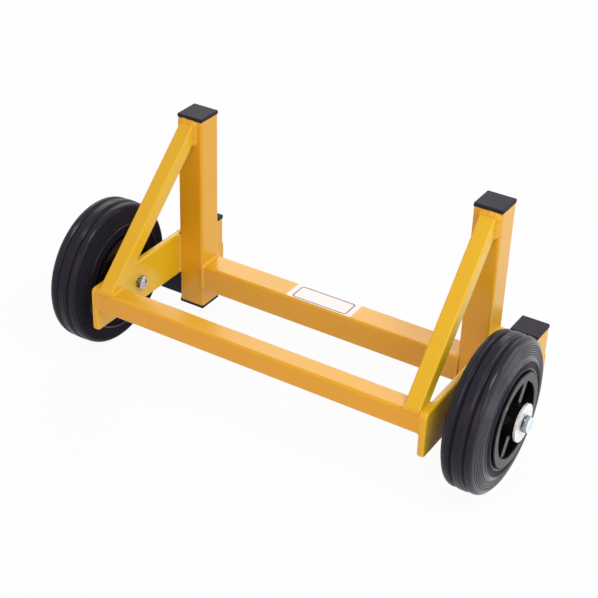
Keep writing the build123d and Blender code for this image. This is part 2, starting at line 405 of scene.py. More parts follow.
class CarrierColours(bpy.types.PropertyGroup):
    """Colours of the carrier's finishes."""

    paint: FloatVectorProperty(
        name="Paint", description="Powder coat of the tubes, rails and welds", subtype="COLOR",
        min=0.0, max=1.0, default=(0.75, 0.442, 0.017))
    # Lit copy of the paint: the side plates and braces are painted yellower, a painted highlight that
    # stands in for the key lamp on them
    lit_paint: FloatVectorProperty(
        name="Bright paint", description="Yellower powder coat of the side plates and braces",
        subtype="COLOR", min=0.0, max=1.0, default=(0.745, 0.515, 0.015))
    cap: FloatVectorProperty(
        name="Caps", description="Plastic of the end caps", subtype="COLOR", min=0.0, max=1.0,
        default=(0.011, 0.010, 0.015))
    rubber: FloatVectorProperty(
        name="Rubber", description="Rubber of the tyres", subtype="COLOR", min=0.0, max=1.0,
        default=(0.0080, 0.0085, 0.0165))
    # Crest grey is a painted sheen on the tyres' rings, as if they caught the light
    crest: FloatVectorProperty(
        name="Ring crests", description="Greyer rubber on the tyres' rings", subtype="COLOR",
        min=0.0, max=1.0, default=(0.062, 0.064, 0.088))
    moulding: FloatVectorProperty(
        name="Wheel centres", description="Plastic of the wheel centres", subtype="COLOR",
        min=0.0, max=1.0, default=(0.005, 0.005, 0.006))
    # The bolt heads' end faces wear this white as a painted highlight
    zinc: FloatVectorProperty(
        name="Zinc", description="Plated washers, spacers and the bolt heads' end faces", subtype="COLOR",
        min=0.0, max=1.0, default=(0.88, 0.97, 1.0))
    grey_zinc: FloatVectorProperty(
        name="Grey zinc", description="Plated nuts and the bolts' shanks", subtype="COLOR",
        min=0.0, max=1.0, default=(0.60, 0.56, 0.62))
    blue_zinc: FloatVectorProperty(
        name="Blue zinc", description="Plated sides of the bolt heads", subtype="COLOR",
        min=0.0, max=1.0, default=(0.38, 0.46, 0.53))
    steel: FloatVectorProperty(
        name="Bearing steel", description="Sleeves and rollers", subtype="COLOR", min=0.0, max=1.0,
        default=(0.56, 0.56, 0.58))
    nylon: FloatVectorProperty(
        name="Bearing cages", description="Nylon of the roller cages", subtype="COLOR",
        min=0.0, max=1.0, default=(0.58, 0.53, 0.42))
    label: FloatVectorProperty(
        name="Label", description="Face of the bare label", subtype="COLOR", min=0.0, max=1.0,
        default=(0.85, 0.90, 1.0))
    label_line: FloatVectorProperty(
        name="Label line", description="Printed line round the label", subtype="COLOR",
        min=0.0, max=1.0, default=(0.012, 0.014, 0.06))


class CarrierTyre(bpy.types.PropertyGroup):
    """Section of the solid rubber tyres."""

    seat_radius: FloatProperty(
        name="Seat radius", description="Bore that grips the rim's channel", unit="LENGTH",
        default=0.0571)
    seat_width: FloatProperty(
        name="Seat width", description="Width inside the rim's channel", unit="LENGTH", default=0.0508)
    lip_radius: FloatProperty(
        name="Lip radius", description="Radius just outside the rim's lips", unit="LENGTH",
        default=0.0624)
    lip_rounding: FloatProperty(
        name="Lip rounding", description="Drop of the lip towards the rim", unit="LENGTH", default=0.003)
    foot_radius: FloatProperty(
        name="Foot radius", description="Crest of the lip beside the rim", unit="LENGTH", default=0.065)
    foot_width: FloatProperty(
        name="Foot width", description="Width over both lips", unit="LENGTH", default=0.057)
    bead_radius: FloatProperty(
        name="Bead radius", description="Ridge between the hollow and the side", unit="LENGTH",
        default=0.0758)
    bead_width: FloatProperty(
        name="Bead width", description="Width over both ridges", unit="LENGTH", default=0.0536)
    ridge_height: FloatProperty(
        name="Ridge height", description="Rise of a ridge's round crest", unit="LENGTH", default=0.0011)
    ridge_reach: FloatProperty(
        name="Ridge reach", description="Half the width of that crest", unit="LENGTH", default=0.0017)
    dish: FloatProperty(
        name="Dish", description="Depth of the hollow between lip and ridge", unit="LENGTH",
        default=0.002)
    tread_width: FloatProperty(
        name="Tread width", description="Width at the shoulders", unit="LENGTH", default=0.0406)
    shoulder: FloatProperty(
        name="Shoulder", description="Reach of the round shoulder from its corner", unit="LENGTH",
        default=0.0062)
    crown: FloatProperty(
        name="Crown", description="Drop of the tread from middle to edge", unit="LENGTH", default=0.0012)
    groove_spread: FloatProperty(
        name="Groove spread", description="Distance between the two tread grooves", unit="LENGTH",
        default=0.017)
    groove_width: FloatProperty(
        name="Groove width", description="Width over which a groove bends the tread", unit="LENGTH",
        default=0.0085)
    groove_depth: FloatProperty(
        name="Groove depth", description="Depth of a tread groove", unit="LENGTH", default=0.003)
    rings: IntProperty(
        name="Rings", description="Fine raised rings on each side", min=1, default=6)
    ring_start: FloatProperty(
        name="Ring start", description="Inner radius of the ringed band", unit="LENGTH", default=0.08)
    ring_pitch: FloatProperty(
        name="Ring pitch", description="Radial distance between rings", unit="LENGTH", default=0.0026)
    ring_height: FloatProperty(
        name="Ring height", description="Height of a raised ring", unit="LENGTH", default=0.001)
    segments: IntProperty(
        name="Segments", description="Steps round the tyre", min=24, default=160)


class CarrierTrim(bpy.types.PropertyGroup):
    """Rear plugs of the feet, nuts and bolts, weld beads and the bare label."""

    tube_wall: FloatProperty(
        name="Tube wall", description="Wall of the foot tubes round their plugs", unit="LENGTH",
        default=0.003)
    plug_corner: FloatProperty(
        name="Plug corner", description="Corner radius of a rear plug", unit="LENGTH", default=0.0012)
    plug_rounding: FloatProperty(
        name="Plug rounding", description="Round edge of a rear plug's face", unit="LENGTH",
        default=0.0008)
    plug_margin: FloatProperty(
        name="Plug margin", description="Sloping rim round the crown of a rear plug", unit="LENGTH",
        default=0.0048)
    plug_crown: FloatProperty(
        name="Plug crown", description="Swell of a rear plug's face", unit="LENGTH", default=0.0006)
    nut_width: FloatProperty(
        name="Nut width", description="Width of a nut across its flats", unit="LENGTH", default=0.017)
    nut_height: FloatProperty(
        name="Nut height", description="Height of a nut on its plate", unit="LENGTH", default=0.0078)
    nut_bore: FloatProperty(
        name="Nut bore", description="Bore of a nut round the bolt", unit="LENGTH", default=0.0121)
    bolt_tip: FloatProperty(
        name="Bolt tip", description="Bolt past the nut", unit="LENGTH", default=0.0008)
    weld_leg: FloatProperty(
        name="Weld leg", description="Reach of a weld bead from its corner", unit="LENGTH",
        default=0.0032)
    brace_head_leg: FloatProperty(
        name="Brace head leg", description="Reach of the bead round a brace's head", unit="LENGTH",
        default=0.0055)
    brace_foot_leg: FloatProperty(
        name="Brace foot leg", description="Reach of the beads at a brace's foot", unit="LENGTH",
        default=0.0025)
    weld_flatness: FloatProperty(
        name="Weld flatness", description="How flat a bead lies in its corner", subtype="FACTOR",
        default=0.4)
    weld_pitch: FloatProperty(
        name="Weld pitch", description="Distance between weld ripples", unit="LENGTH", default=0.0036)
    weld_swell: FloatProperty(
        name="Weld swell", description="Share by which ripples swell the bead", subtype="FACTOR",
        default=0.10)
    weld_wander: FloatProperty(
        name="Weld wander", description="How far a bead strays from its line", unit="LENGTH",
        default=0.0012)
    label_length: FloatProperty(
        name="Label length", description="Length along the rear rail", unit="LENGTH", default=0.103)
    label_width: FloatProperty(
        name="Label width", description="Width across the rail's top", unit="LENGTH", default=0.0335)
    label_offset: FloatProperty(
        name="Label offset", description="Label's middle from the carrier's middle", unit="LENGTH",
        default=-0.0127)
    label_thickness: FloatProperty(
        name="Label thickness", description="Thickness of the film above the rail", unit="LENGTH",
        default=0.0002)
    label_corner: FloatProperty(
        name="Label corner", description="Corner radius of the film", unit="LENGTH", default=0.0015)
    line_margin: FloatProperty(
        name="Line margin", description="Film outside the printed line's ends", unit="LENGTH",
        default=0.009)
    line_inset: FloatProperty(
        name="Line inset", description="Film outside the printed line's long sides", unit="LENGTH",
        default=0.0026)
    line_width: FloatProperty(
        name="Line width", description="Width of the printed line", unit="LENGTH", default=0.002)
    line_corner: FloatProperty(
        name="Line corner", description="Corner radius of the printed line", unit="LENGTH",
        default=0.004)


class CarrierStage(bpy.types.PropertyGroup):
    """Camera, lamps and floor."""

    aim: FloatVectorProperty(
        name="Aim", description="Point that the camera looks at", subtype="TRANSLATION", unit="LENGTH",
        default=(-0.0161, 0.0, 0.12718))
    distance: FloatProperty(
        name="Distance", description="Camera from that point", unit="LENGTH", default=1.91973)
    azimuth: FloatProperty(
        name="Azimuth", description="Turn round the carrier from its front", subtype="ANGLE",
        default=math.radians(31.0617))
    elevation: FloatProperty(
        name="Elevation", description="Height above the horizon", subtype="ANGLE",
        default=math.radians(31.9377))
    roll: FloatProperty(
        name="Roll", description="Tilt of the camera, right side up", subtype="ANGLE",
        default=math.radians(1.8911))
    lens: FloatProperty(
        name="Lens", description="Focal length in millimetres for a 36 mm sensor", default=86.444)
    ambient: FloatProperty(
        name="Ambient", description="Strength of the light from all round", default=0.55)
    ambient_colour: FloatVectorProperty(
        name="Ambient colour", description="Tint of the light from all round", subtype="COLOR",
        min=0.0, max=1.0, default=(1.0, 0.69, 0.54))
    key_power: FloatProperty(
        name="Key lamp", description="Lamp above, on the right", unit="POWER", default=53.0)
    back_power: FloatProperty(
        name="Back lamp", description="Wide lamp behind, on the left", unit="POWER", default=22.0)
    front_power: FloatProperty(
        name="Front lamp", description="Soft lamp in front", unit="POWER", default=16.5)
    side_power: FloatProperty(
        name="Side lamp", description="Small lamp beside the right-hand wheel", unit="POWER",
        default=1.6)
    fill_power: FloatProperty(
        name="Fill lamp", description="Soft lamp behind, on the right", unit="POWER", default=11.0)
    key_colour: FloatVectorProperty(
        name="Key colour", description="Colour of the key lamp", subtype="COLOR", min=0.0, max=1.0,
        default=(0.85, 1.0, 0.90))
    fill_colour: FloatVectorProperty(
        name="Fill colour", description="Colour of the fill lamp", subtype="COLOR", min=0.0, max=1.0,
        default=(1.0, 0.84, 0.76))
    warm_colour: FloatVectorProperty(
        name="Warm colour", description="Colour of the front lamp", subtype="COLOR", min=0.0, max=1.0,
        default=(1.0, 0.36, 0.28))
    floor_colour: FloatVectorProperty(
        name="Floor", description="Colour of the floor", subtype="COLOR", min=0.0, max=1.0,
        default=(0.82, 0.84, 1.0))
    floor_size: FloatProperty(
        name="Floor size", description="Side of the square floor", unit="LENGTH", default=40.0)
    floor_white: FloatProperty(
        name="Floor white", description="Share of plain white that the camera sees on the floor",
        subtype="FACTOR", default=0.95)


# Finishes

def powder_coat(name, paint):
    """Glossy powder coat: fine orange peel, a slow change of tone and thin spots."""
    found = bpy.data.materials.get(name)
    if found:
        return found
    finish = Finish(name, {"Specular IOR Level": 0.16, "Coat Roughness": 0.18, "Coat IOR": 1.5})
    tone = finish.noise(scale=9.0, detail=3.0)
    cloud = finish.noise(scale=45.0, detail=4.0)
    peel = finish.noise(scale=420.0) + 0.5 * finish.noise(scale=1500.0, detail=1.0)
    deep = (paint[0] * 0.97, paint[1] * 0.94, paint[2] * 0.8)
    return finish.wear({
        "Base Color": finish.mix(tone, rgba(deep), rgba(paint, 1.03)),
        "Roughness": between(0.30, 0.40, cloud),
        "Coat Weight": between(0.46, 0.66, tone),
        "Normal": finish.bump(peel, distance=0.00003),
    })


def cap_plastic(colours):
    """Matt black plastic with a fine eroded grain and faint scuffs."""
    finish = Finish("black_cap_plastic", {
        "Specular IOR Level": 0.32, "Specular Tint": rgba((0.80, 0.70, 1.0))})
    grain = finish.noise(scale=1800.0)
    scuff = finish.noise(scale=70.0, detail=5.0)
    return finish.wear({
        "Base Color": finish.shade(scuff, colours.cap, 0.85, 1.35),
        "Roughness": between(0.56, 0.70, scuff),
        "Normal": finish.bump(grain, distance=0.0001),
    })


def tyre_rubber(colours, tyre):
    """Black rubber: dull in the hollow and on the inner side, shiny on the ridges, with a grey painted
    sheen on the rings.
    """
    finish = Finish("black_tyre_rubber", {
        "Specular IOR Level": 0.13, "Specular Tint": rgba((0.80, 0.82, 1.0)),
        "Coat Roughness": 0.12, "Coat IOR": 1.45})
    radius = finish.radius()
    along = finish.along()

    # Masks of the tyre's parts, by radius and by distance along the axle
    band = (radius > tyre.ring_start) * (radius < tyre.ring_start + tyre.rings * tyre.ring_pitch)
    crest = abs(((radius - tyre.ring_start) * (math.pi / tyre.ring_pitch)).sine()) ** 2.0
    tread = ((radius - (TYRE_RADIUS - tyre.shoulder)) / tyre.shoulder).clamped()
    ridge = (1.0 - abs(radius - tyre.bead_radius) / tyre.ridge_reach).at_least(0.0)
    hollow_radius = (tyre.foot_radius + tyre.bead_radius) / 2
    hollow_reach = (tyre.bead_radius - tyre.foot_radius) / 2
    hollow = (2.0 - 2.0 * (abs(radius - hollow_radius) / hollow_reach) ** 2.0).clamped()
    inner = ((TYRE_MIDDLE.x - along) / (tyre.tread_width / 4)).clamped() * (1.0 - tread)
    off_groove = abs(abs(along - TYRE_MIDDLE.x) - tyre.groove_spread / 2)
    groove = (1.0 - off_groove / (tyre.groove_width / 4)).at_least(0.0) * (tread > 0.0)
    dull = inner * (1.0 - ridge)
    valley = (band * (1.0 - crest) + hollow * (1.0 - ridge)).at_most(1.0)

    # Marks of the mould, and how much of the shine each part keeps
    bloom = finish.noise(scale=22.0, detail=4.0)
    grain = finish.noise(scale=900.0, detail=3.0)
    lathe = finish.add("ShaderNodeCombineXYZ", sockets={0: finish.split(finish.place)[0], 1: radius})
    streak = finish.add("ShaderNodeTexNoise", sockets={"Vector": lathe, "Scale": 1100.0, "Detail": 3.0})
    marks = 0.5 * grain + 0.5 * streak
    shine = (1.0 - 0.75 * valley) * (1.0 - 0.72 * tread) * (1.0 - dull) * (1.0 - groove)
    polish = 0.24 + 0.12 * bloom + 0.12 * streak
    plain = finish.shade(marks, colours.rubber, 0.5, 1.7)
    # Painted sheen: the ring crests are greyed as if they caught light, far less on the inner side, where
    # the lack of it stands in for shade
    crest_sheen = 0.9 * band * crest * (1.0 - 0.8 * inner)
    return finish.wear({
        "Base Color": finish.mix(crest_sheen, plain, rgba(colours.crest)),
        "Roughness": polish + 0.16 * tread + 0.34 * dull + 0.4 * groove + 0.4 * valley,
        "Coat Weight": between(1.0, 0.6, bloom) * shine,
        "Normal": finish.bump(marks, distance=0.0002),
    })


def wheel_moulding(colours):
    """Glossy black moulding with faint flow marks."""
    finish = Finish("black_wheel_moulding", {"Specular IOR Level": 0.14, "Coat Roughness": 0.05})
    flow = finish.noise(scale=60.0, detail=4.0)
    grain = finish.noise(scale=700.0)
    return finish.wear({
        "Base Color": finish.shade(flow, colours.moulding, 0.8, 1.4),
        "Roughness": between(0.14, 0.26, flow),
        "Coat Weight": between(0.06, 0.18, flow),
        "Normal": finish.bump(grain, distance=0.00002),
    })


def turned_metal(name, colour, metallic, roughness, marks):
    """Metal with fine marks turned round the axle."""
    finish = Finish(name, {"Metallic": metallic})
    x = finish.split(finish.place)[0]
    rings = (finish.radius() * marks + x * marks * 0.6).sine()
    cloud = finish.noise(scale=120.0, detail=4.0)
    return finish.wear({
        "Base Color": finish.shade(cloud, colour, 0.92, 1.04),
        "Roughness": roughness + 0.08 * cloud + 0.02 * rings,
        "Normal": finish.bump(rings, distance=0.000003),
    })


def grey_zinc(colours, trim):
    """Grey plating with bumped facets; the nuts' flanks carry painted shade with small painted glints."""
    finish = Finish("grey_zinc", {})
    nut_face = plate_faces("right")[0] - trim.nut_height
    flank = ((finish.along() - nut_face) / (FLANK_START * trim.nut_height)).clamped()
    cloud = finish.noise(scale=260.0, detail=4.0)
    # Painted glints: bright specks in the painted shade of the flanks
    glint = (6.0 * finish.noise(scale=600.0) - 2.7).clamped()
    plating = finish.shade(cloud, colours.grey_zinc, 0.85, 1.15)
    # Painted shade on the nuts' flanks, broken by the painted glints
    flank_shade = finish.shade(glint, colours.grey_zinc, 0.14, 0.8)
    facet = finish.add("ShaderNodeTexVoronoi", sockets={"Vector": finish.place, "Scale": 420.0})
    return finish.wear({
        "Base Color": finish.mix(flank, plating, flank_shade),
        "Metallic": between(0.35, 0.75, cloud),
        "Roughness": between(0.16, 0.30, cloud),
        "Normal": finish.bump(facet, distance=0.0002),
    })


def blue_zinc(colours):
    """Blue-passivated bolt: a painted shadow at its foot against the washer, a painted highlight of white
    zinc on the end face, and a grey shank.
    """
    finish = Finish("blue_zinc", {"Metallic": 1.0})
    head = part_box("right_axle_bolt")[1].x
    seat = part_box("right_outer_washer")[1].x
    depth = (finish.along() - seat) / (head - seat)
    foot = (depth > 0.0) * (depth < HEAD_FOOT_SHADOW)
    cloud = finish.noise(scale=260.0, detail=4.0)
    plain = finish.mix(depth < 0.0, rgba(colours.blue_zinc), rgba(colours.grey_zinc))
    clouded = finish.mix(0.35 * cloud, plain, rgba(colours.moulding))
    # Painted shadow: the foot of the head is shaded with black where it meets the washer
    foot_shadowed = finish.mix(0.85 * foot, clouded, rgba(colours.moulding))
    return finish.wear({
        # Painted highlight: the head's end face takes the white zinc of the washers
        "Base Color": finish.mix(depth > HEAD_FACE, foot_shadowed, rgba(colours.zinc)),
        "Roughness": between(0.20, 0.34, cloud),
        "Normal": finish.bump(finish.noise(scale=800.0), distance=0.00002),
    })


def cage_nylon(colours):
    """Natural nylon, slightly cloudy."""
    finish = Finish("natural_nylon", {"Specular IOR Level": 0.4})
    cloud = finish.noise(scale=160.0, detail=3.0)
    return finish.wear({
        "Base Color": finish.shade(cloud, colours.nylon, 0.9, 1.08),
        "Roughness": between(0.42, 0.52, cloud),
        "Normal": finish.bump(finish.noise(scale=900.0), distance=0.00003),
    })


def label_film(colours, trim, middle):
    """White film with one printed line that follows its edge."""
    finish = Finish("white_label_film", {"Specular IOR Level": 0.5})
    x, y, z = finish.split(finish.place)
    half_length = trim.label_length / 2 - trim.line_margin - trim.line_corner
    half_width = trim.label_width / 2 - trim.line_inset - trim.line_corner
    along = (abs(x - middle.x) - half_length).at_least(0.0)
    across = (abs(y - middle.y) - half_width).at_least(0.0)
    edge = (along ** 2.0 + across ** 2.0) ** 0.5 - trim.line_corner
    line = abs(edge) < trim.line_width / 2
    fade = finish.noise(scale=250.0, detail=3.0)
    ink = line * between(0.85, 1.0, fade)
    dust = finish.shade(fade, colours.label, 0.97, 1.02)
    return finish.wear({
        "Base Color": finish.mix(ink, dust, rgba(colours.label_line)),
        "Roughness": between(0.28, 0.38, fade),
        "Normal": finish.bump(finish.noise(scale=130.0), distance=0.00004),
    })


# Shapes

def tyre_section(tyre):
    """Section of a tyre as radius and width pairs, out along one side and back along the other."""
    side = [
        (tyre.seat_radius, tyre.seat_width / 2),
        (tyre.lip_radius, tyre.seat_width / 2),
    ]
    side += hollow_side(tyre)
    side += ringed_side(tyre)
    side += round_shoulder(tyre)
    side += ribbed_tread(tyre)
    out = [(radius, -width) for radius, width in side]
    back = [(radius, width) for radius, width in reversed(side[:-1])]
    return out + back


def hollow_side(tyre, steps=8):
    """Round lip beside the rim, the hollow and the ridge, eased into each other."""
    hollow_radius = (tyre.foot_radius + tyre.bead_radius) / 2
    hollow_width = (tyre.foot_width + tyre.bead_width) / 2 - 2 * tyre.dish
    stops = (
        (tyre.lip_radius, tyre.foot_width / 2 - tyre.lip_rounding),
        (tyre.foot_radius, tyre.foot_width / 2),
        (hollow_radius, hollow_width / 2),
        (tyre.bead_radius, tyre.bead_width / 2),
    )
    points = []
    for (radius, width), (next_radius, next_width) in zip(stops, stops[1:]):
        for step in range(steps):
            share = step / steps
            ease = (1 - math.cos(math.pi * share)) / 2
            place = radius + (next_radius - radius) * share
            points.append((place, width + (next_width - width) * ease + ridge_lift(tyre, place)))
    return points


def ridge_lift(tyre, radius):
    """Rise of the ridge's round crest at a radius."""
    return tyre.ridge_height * max(0.0, 1 - ((radius - tyre.bead_radius) / tyre.ridge_reach) ** 2)


def ridge_foot(tyre):
    """Where the sloping side starts, under the ridge."""
    return Vector((tyre.bead_radius, tyre.bead_width / 2))


def shoulder_stops(tyre):
    """Where the round shoulder leaves the side, its corner, and where it joins the tread."""
    corner = Vector((TYRE_RADIUS - tyre.crown, tyre.tread_width / 2))
    leave = corner + (ridge_foot(tyre) - corner).normalized() * tyre.shoulder
    join = Vector((tread_radius(tyre, corner.y - tyre.shoulder), corner.y - tyre.shoulder))
    return leave, corner, join


def ringed_side(tyre, steps=8):
    """Sloping side from the ridge to the shoulder, with fine raised rings."""
    foot = ridge_foot(tyre)
    leave = shoulder_stops(tyre)[0]
    slope = (leave.y - foot.y) / (leave.x - foot.x)
    points = []
    for step in range(steps):
        radius = foot.x + (tyre.ring_start - foot.x) * step / steps
        points.append((radius, foot.y + slope * (radius - foot.x) + ridge_lift(tyre, radius)))
    for step in range(tyre.rings * steps + 1):
        share = step / steps
        radius = tyre.ring_start + share * tyre.ring_pitch
        lift = tyre.ring_height * abs(math.sin(math.pi * share)) ** 1.5
        points.append((radius, foot.y + slope * (radius - foot.x) + lift))
    return points


def round_shoulder(tyre, steps=10):
    """Curve from the side over to the tread."""
    leave, corner, join = shoulder_stops(tyre)
    curve = []
    for step in range(steps):
        share = step / steps
        curve.append(tuple(leave * (1 - share) ** 2 + corner * 2 * share * (1 - share) + join * share ** 2))
    return curve


def tread_radius(tyre, width):
    """Radius of the crowned tread, bent down into a groove on each side of its middle."""
    drop = tyre.crown * (2 * width / tyre.tread_width) ** 2
    reach = abs(width - tyre.groove_spread / 2) / (tyre.groove_width / 2)
    return TYRE_RADIUS - drop - tyre.groove_depth * max(0.0, 1 - reach ** 2) ** 1.5


def ribbed_tread(tyre, steps=14):
    """Outer rib, groove and half of the middle rib."""
    stops = (tyre.tread_width / 2 - tyre.shoulder, tyre.groove_spread / 2, 0.0)
    widths = [start + (end - start) * step / steps
              for start, end in zip(stops, stops[1:]) for step in range(steps)]
    return [(tread_radius(tyre, width), width) for width in widths + [0.0]]


def ring_solid(name, rings, finish, hollow=False):
    """A piece of faces between rings of points; its ends are filled, or joined when it is hollow."""
    shape = bmesh.new()
    rings = [[shape.verts.new(point) for point in ring] for ring in rings]
    pairs = list(zip(rings, rings[1:]))
    if hollow:
        pairs.append((rings[-1], rings[0]))
    else:
        shape.faces.new(rings[0])
        shape.faces.new(rings[-1])
    for ring, after in pairs:
        for i in range(len(ring)):
            j = (i + 1) % len(ring)
            shape.faces.new((ring[i], ring[j], after[j], after[i]))
    bmesh.ops.recalc_face_normals(shape, faces=shape.faces)
    return shape_piece(name, shape, finish)


def plug_rings(side, trim):
    """Rings of a plug in the rear mouth of a foot tube: its skirt, a round edge and a crowned face."""
    foot_low, foot_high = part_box(f"{side}_foot_tube")
    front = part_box(f"{side}_foot_rear_cap")[0].y
    mouth = foot_high.y
    edge = trim.plug_rounding
    layers = (
        (0.0, front),
        (0.0, mouth - edge),
        (PLUG_EASE * edge, mouth - PLUG_EASE * edge),
        (edge, mouth),
        (trim.plug_margin, mouth + trim.plug_crown),
    )
    rings = []
    for inset, y in layers:
        gap = trim.tube_wall + inset
        corner = max(trim.plug_corner - inset, trim.plug_corner * PLUG_EASE)
        low = (foot_low.x + gap, foot_low.z + gap)
        high = (foot_high.x - gap, foot_high.z - gap)
        rings.append([(x, y, z) for x, z in rounded_loop(low, high, corner)])
    return rings


def nut_rings(side, trim):
    """Rings of a hexagon nut on the plate's inner face: its sides, chamfered corners, face and bore."""
    sign = SIDES[side]
    inner = plate_faces(side)[0]
    face = inner - sign * trim.nut_height
    flat = trim.nut_width / 2
    crown = flat * NUT_CROWN
    bore = trim.nut_bore / 2
    rings = [[], [], [], [], []]
    for step in range(NUT_STEPS):
        angle = 2 * math.pi * step / NUT_STEPS
        reach = flat / math.cos((angle + math.pi / 6) % (math.pi / 3) - math.pi / 6)
        chamfer = face + sign * (reach - crown) * math.tan(NUT_CHAMFER)
        corners = ((reach, inner), (reach, chamfer), (crown, face), (bore, face), (bore, inner))
        for ring, (radius, x) in zip(rings, corners):
            y = TYRE_MIDDLE.y + radius * math.cos(angle)
            z = TYRE_MIDDLE.z + radius * math.sin(angle)
            ring.append((x, y, z))
    return rings


def short_bolt(name, side, trim, finish):
    """A copy of the axle bolt with its tip drawn back to just past the nut."""
    sign = SIDES[side]
    inner = plate_faces(side)[0]
    low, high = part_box(f"{side}_axle_bolt")
    tip = low.x if sign > 0 else high.x
    draw = inner - sign * (trim.nut_height + trim.bolt_tip) - tip
    shape = bmesh.new()
    shape.from_mesh(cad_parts[f"{side}_axle_bolt"].data)
    bmesh.ops.remove_doubles(shape, verts=shape.verts, dist=MERGE_GAP)
    for vertex in shape.verts:
        if sign * vertex.co.x < sign * inner:
            vertex.co.x += draw
    for face in shape.faces:
        face.smooth = True
    piece = shape_piece(name, shape, finish)
    piece.data.set_sharp_from_angle(angle=SHARP_ANGLE)
    return piece


def turning_tree():
    """Turns a section round the axle: Section is a loop of edges, X outwards and Y along the axle."""
    board, given = shape_board("turned_section", (
        ("Section", "NodeSocketGeometry"), ("Segments", "NodeSocketInt"),
        ("Middle", "NodeSocketVector"), ("Finish", "NodeSocketMaterial")))
    section = board.add("GeometryNodeMeshToCurve", sockets={"Mesh": given["Section"]})
    path = board.add("GeometryNodeCurvePrimitiveCircle", sockets={
        "Resolution": given["Segments"], "Radius": AXIS_RADIUS})
    turned = board.add("GeometryNodeCurveToMesh", sockets={"Curve": path, "Profile Curve": section})
    placed = board.add("GeometryNodeTransform", sockets={
        "Geometry": turned, "Translation": given["Middle"], "Rotation": (0.0, math.pi / 2, 0.0)})
    return close_shape(board, placed, given["Finish"])


def weld_tree():
    """Lays a rippled bead along each line of edges."""
    board, given = shape_board("weld_bead", (
        ("Lines", "NodeSocketGeometry"), ("Leg", "NodeSocketFloat"), ("Flatness", "NodeSocketFloat"),
        ("Pitch", "NodeSocketFloat"), ("Swell", "NodeSocketFloat"), ("Wander", "NodeSocketFloat"),
        ("Finish", "NodeSocketMaterial")))

    # The line, in even steps, strays a little
    curve = board.add("GeometryNodeMeshToCurve", sockets={"Mesh": given["Lines"]})
    evened = board.add("GeometryNodeResampleCurve", {"mode": "LENGTH"}, {
        "Curve": curve, "Length": given["Pitch"] / RIPPLE_STEPS})
    stray = board.add("ShaderNodeTexNoise", sockets={"Scale": WANDER_SCALE, "Detail": 2.0}, out="Color")
    centred = board.add("ShaderNodeVectorMath", {"operation": "SUBTRACT"}, {0: stray, 1: (0.5, 0.5, 0.5)})
    offset = board.add("ShaderNodeVectorMath", {"operation": "SCALE"}, {
        0: centred, "Scale": given["Wander"]})
    moved = board.add("GeometryNodeSetPosition", sockets={"Geometry": evened, "Offset": offset})
    lean = board.add("GeometryNodeInputNamedAttribute", {"data_type": "FLOAT_VECTOR"}, {"Name": "lean"})
    turned = board.add("GeometryNodeSetCurveNormal", {"mode": "FREE"}, {"Curve": moved, "Normal": lean})

    # The bead swells with its ripples and with slower blobs
    length = board.add("GeometryNodeSplineParameter", out="Length")
    ripple = abs((length * math.pi / given["Pitch"]).sine())
    blob = board.add("ShaderNodeTexNoise", sockets={"Scale": BLOB_SCALE, "Detail": 1.0})
    size = given["Leg"] * (BLOB_BASE + given["Swell"] * ripple + BLOB_SWELL * blob)

    # The section is a flattened ring, lifted out of its corner
    ring = board.add("GeometryNodeCurvePrimitiveCircle", sockets={
        "Resolution": SECTION_STEPS, "Radius": 1.0})
    height = board.add("ShaderNodeCombineXYZ", sockets={0: 1.0 - given["Flatness"], 1: 1.0, 2: 1.0})
    lift = board.add("ShaderNodeCombineXYZ", sockets={0: given["Flatness"] * BEAD_LIFT})
    section = board.add("GeometryNodeTransform", sockets={
        "Geometry": ring, "Translation": lift, "Scale": height})
    bead = board.add("GeometryNodeCurveToMesh", sockets={
        "Curve": turned, "Profile Curve": section, "Scale": size, "Fill Caps": True})
    return close_shape(board, bead, given["Finish"])


def rail_weld_lines():
    """Loops round both ends of the two cross rails."""
    lines = []
    for name, front_inset in RAIL_INSETS.items():
        low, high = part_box(name)
        loop = rounded_loop((low.y + front_inset, low.z), (high.y - BACK_INSET, high.z), CORNER_GAP)
        for end, inwards in ((low.x, 1.0), (high.x, -1.0)):
            lines.append(ring_line(loop, lambda y, z, share: (end * share, y, z), (inwards, 0.0, 0.0)))
    return lines


def side_weld_lines(side):
    """Seams of one side's plate, foot and post."""
    sign = SIDES[side]
    up_low, up_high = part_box(f"{side}_upright")
    plate_low, plate_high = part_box(f"{side}_side_plate")
    foot_low, foot_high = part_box(f"{side}_foot_tube")
    post_low, post_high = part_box(f"{side}_short_post")
    inner, outer = plate_faces(side)
    front, back = up_low.y, up_high.y
    bottom, top = plate_low.z + CORNER_GAP, plate_high.z - EDGE_GAP
    foot_bottom, foot_top = foot_low.z + CORNER_GAP, foot_high.z - CORNER_GAP
    foot_front = foot_low.y + CAP_GAP
    post_left, post_right = post_low.x + POST_GAP, post_high.x - POST_GAP
    post_front, post_bottom = post_low.y, post_low.z
    seams = (
        ((inner, front, bottom), (inner, front, top), (-sign, -1.0, 0.0)),
        ((inner, back, bottom), (inner, back, top), (0.0, 1.0, 0.0)),
        ((inner, front + CORNER_GAP, plate_high.z), (inner, back - CORNER_GAP, plate_high.z),
         (sign, 0.0, 1.0)),
        ((outer, foot_front, plate_low.z), (outer, back - EDGE_GAP, plate_low.z), (sign, 0.0, 1.0)),
        ((inner, back, foot_bottom), (inner, back, foot_top), (-sign, 1.0, 0.0)),
        ((inner, foot_front, foot_low.z), (inner, back - CORNER_GAP, foot_low.z), (sign, 0.0, -1.0)),
        ((post_left, post_front, post_bottom), (post_right, post_front, post_bottom), (0.0, -1.0, 1.0)),
    )
    return [straight_line(*seam) for seam in seams]


